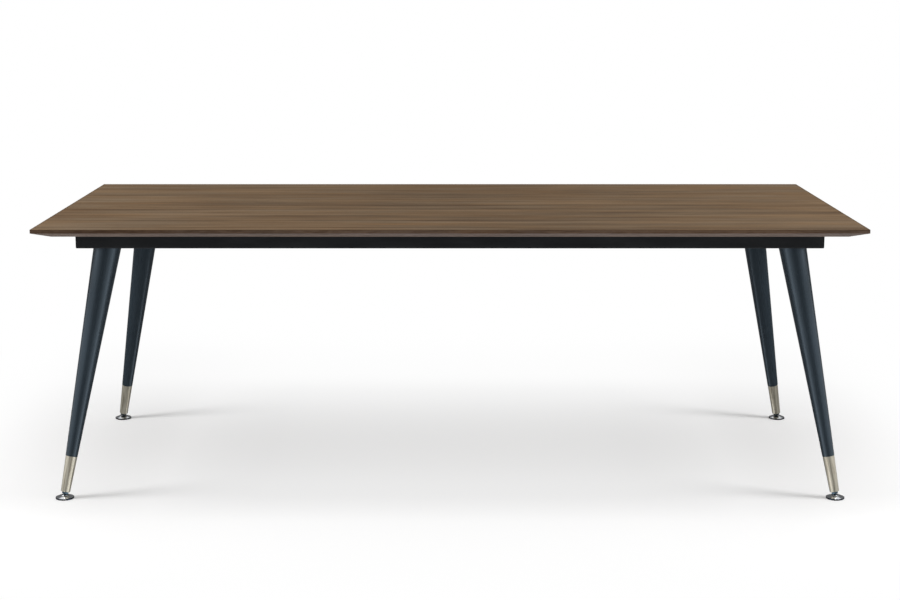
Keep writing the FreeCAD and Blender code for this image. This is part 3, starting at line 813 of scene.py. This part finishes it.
# How much of its own shade the floor shows: by the distance from the middle, and front to back.
# The smooth curve needs two stops at 0 to end there.
SHADE_BY_LENGTH = ((0.0, 0.34), (0.5, 0.34), (0.72, 0.45), (0.9, 0.84), (1.05, 0.98), (1.2, 0.98),
                   (1.32, 0.72), (1.42, 0.25), (1.55, 0), (1.7, 0))
SHADE_BY_DEPTH = ((-1.5, 0), (-1.2, 0), (-0.9, 0.8), (-0.62, 1), (-0.45, 0.76), (-0.3, 0.72),
                  (-0.12, 0.87), (0.12, 1), (0.32, 0.97), (0.55, 0.80), (0.75, 0.55), (1.1, 0.42),
                  (1.5, 0.06), (1.8, 0), (2.2, 0))
# What mirrors see of the studio, by the share of the half turn from behind the camera to the back
FRONT_GREY = (0.16, 0.16, 0.16)
SOFT_GREY = (1.1, 1.1, 1.1)
SIDE_WHITE = (2.5, 2.5, 2.5)
BACK_GREY = (0.15, 0.15, 0.15)
OVERHEAD_GREY = (0.85, 0.85, 0.85)
AROUND_STOPS = ((0.08, FRONT_GREY), (0.28, SOFT_GREY), (0.42, SIDE_WHITE), (0.50, SOFT_GREY),
                (0.58, BACK_GREY))
BELOW_STOPS = ((0.10, FRONT_GREY), (0.30, SIDE_WHITE), (0.49, SIDE_WHITE), (0.57, BACK_GREY))
BELOW_RANGE = (-0.25, -0.42)
OVERHEAD_RANGE = (0.55, 0.8)
WORLD_LIGHT = (0.49, 0.49, 0.49)
# A dark card stands along the table's middle line, with a wing round each back corner
CARD_END = 2.1
WING_START = (1.15, 0)
WING_CORNER = (1.5, 0.3)
WING_END = (1.9, 2.4)
CARD_DEPTH = 1.1
# A grey card stands outside each front leg, over a darker one for its ferrule
SIDE_CARD_FRONT = (1.42, -0.80)
SIDE_CARD_BACK = (1.42, -0.2)
SIDE_CARD_GREY = (1.05, 1.05, 1.05)
FOOT_CARD_TOP = 0.02
FOOT_CARD_GREY = (0.45, 0.45, 0.45)
# The lamps on the right: places, targets, sizes in metres and power in watts
OVERHEAD_PLACE = (1.55, -0.3, 2.6)
OVERHEAD_TARGET = (1.1, 0, 0.7)
OVERHEAD_SIZE = (1.4, 2.0)
OVERHEAD_POWER = 10.6
LAMP_PLACE = (2.07, -0.45, 2.45)
LAMP_TARGET = (0.95, -0.1, 0.4)
LAMP_SIZE = (0.55, 0.55)
LAMP_POWER = 30


def at_side(place, side):
    """A place on the right, for side 1, or its mirror image on the left, for side -1."""
    return (side * place[0], *place[1:])


def camera_like_ray(graph):
    """1 for the rays that show the background: camera, glossy and transmission rays."""
    path = graph.node("ShaderNodeLightPath", {}).outputs
    both = graph.math("MAXIMUM", path["Is Camera Ray"], path["Is Glossy Ray"])
    return graph.math("MAXIMUM", both, path["Is Transmission Ray"])


def make_floor():
    """White, but for a soft oval round the table where it keeps the table's shadow. Mirrors look
    past it, at the studio."""
    mesh = bmesh.new()
    bmesh.ops.create_grid(mesh, x_segments=1, y_segments=1, size=FLOOR_SIZE / 2)
    floor = add_object("floor", mesh)
    graph = Graph("floor_white")
    place = graph.position()
    from_middle = graph.math("ABSOLUTE", place["X"])
    shade = graph.math("MULTIPLY", graph.curve(from_middle, SHADE_BY_LENGTH),
                       graph.curve(place["Y"], SHADE_BY_DEPTH))
    plain = graph.math("MULTIPLY", graph.math("SUBTRACT", 1.0, shade), camera_like_ray(graph))
    white = graph.node("ShaderNodeEmission", {"Color": WHITE, "Strength": 1.0})
    tone = graph.mix(camera_like_ray(graph), FLOOR_BOUNCE, FLOOR_SEEN)
    matt = graph.node("ShaderNodeBsdfDiffuse", {"Color": tone})
    mixed = graph.node("ShaderNodeMixShader", {0: plain, 1: matt.outputs[0], 2: white.outputs[0]})
    floor.data.materials.append(graph.finish_with(mixed))
    floor.visible_glossy = False


def make_card(name, lines, top, low, tone):
    """A standing card that glows with its tone, seen only by mirrors as painted light and shade, over
    lines on the floor.
    """
    mesh = bmesh.new()
    for start, end in lines:
        mesh.faces.new([mesh.verts.new((*point, height)) for point, height in
                        ((start, top), (end, top), (end, low), (start, low))])
    card = add_object(name, mesh)
    graph = Graph(f"{name}_tone")
    glow = graph.node("ShaderNodeEmission", {"Color": tone, "Strength": 1.0})
    card.data.materials.append(graph.finish_with(glow))
    card.visible_camera = False
    card.visible_diffuse = False
    card.visible_transmission = False
    card.visible_shadow = False


def make_cards():
    """The dark card leaves the far legs without bright reflections. The grey ones dim the outer
    side of each near leg, and the ones under them that of its ferrule. The dark card and the
    lowest ones go on below the floor, because mirrors look past that."""
    dark = [((-CARD_END, 0), (CARD_END, 0))]
    grey = []
    for side in (-1, 1):
        corner = at_side(WING_CORNER, side)
        dark += [(at_side(WING_START, side), corner), (corner, at_side(WING_END, side))]
        grey.append((at_side(SIDE_CARD_FRONT, side), at_side(SIDE_CARD_BACK, side)))
    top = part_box("front_rail")[0].z
    make_card("dark_card", dark, top, -CARD_DEPTH, FRONT_GREY)
    make_card("grey_cards", grey, top, FOOT_CARD_TOP, SIDE_CARD_GREY)
    make_card("foot_cards", grey, FOOT_CARD_TOP, -CARD_DEPTH, FOOT_CARD_GREY)


def make_world():
    """White where it is seen. In reflections it is a studio: dark behind the camera and at the
    back, bright at the sides and pale overhead. As a source of light it is dim."""
    world = bpy.data.worlds.new("studio")
    world.use_nodes = True
    bpy.context.scene.world = world
    graph = Graph(tree=world.node_tree)
    direction = graph.node("ShaderNodeTexCoord", {}).outputs["Generated"]
    x, y, z = graph.node("ShaderNodeSeparateXYZ", {"Vector": direction}).outputs
    azimuth = graph.math("ABSOLUTE", graph.math("ARCTAN2", x, graph.scaled(y, -1)))
    share = graph.math("DIVIDE", azimuth, pi)
    around_table = graph.ramp(share, *AROUND_STOPS)
    below = graph.ramp(share, *BELOW_STOPS)
    mirrored = graph.mix(graph.spread(z, *BELOW_RANGE), around_table, below)
    mirrored = graph.mix(graph.spread(z, *OVERHEAD_RANGE), mirrored, OVERHEAD_GREY)
    path = graph.node("ShaderNodeLightPath", {}).outputs
    colour = graph.mix(path["Is Glossy Ray"], WHITE, mirrored)
    strength = graph.mix(camera_like_ray(graph), WORLD_LIGHT, WHITE)
    background = graph.tree.nodes["Background"]
    graph.feed(background.inputs["Color"], graph.tinted(colour, strength))


def make_lamp(name, place, target, size, power):
    data = bpy.data.lights.new(name, "AREA")
    data.shape = "RECTANGLE"
    data.size, data.size_y = size
    data.energy = power
    lamp = bpy.data.objects.new(name, data)
    lamp.location = place
    aim = Vector(target) - Vector(place)
    lamp.rotation_euler = aim.to_track_quat("-Z", "Y").to_euler()
    bpy.context.scene.collection.objects.link(lamp)


def make_lamps():
    """A wide soft lamp over each half, and a smaller one high beside each end, which draws the
    legs' thin shadows."""
    for name, side in (("left", -1), ("right", 1)):
        make_lamp(f"{name}_overhead", at_side(OVERHEAD_PLACE, side), at_side(OVERHEAD_TARGET, side),
                  OVERHEAD_SIZE, OVERHEAD_POWER)
        make_lamp(f"{name}_lamp", at_side(LAMP_PLACE, side), at_side(LAMP_TARGET, side),
                  LAMP_SIZE, LAMP_POWER)


make_camera()
make_world()
make_floor()
make_cards()
make_lamps()
dress_tabletop()
dress_frame()
make_legs()

bpy.context.scene.view_settings.view_transform = "Standard"

bpy.context.view_layer.update()
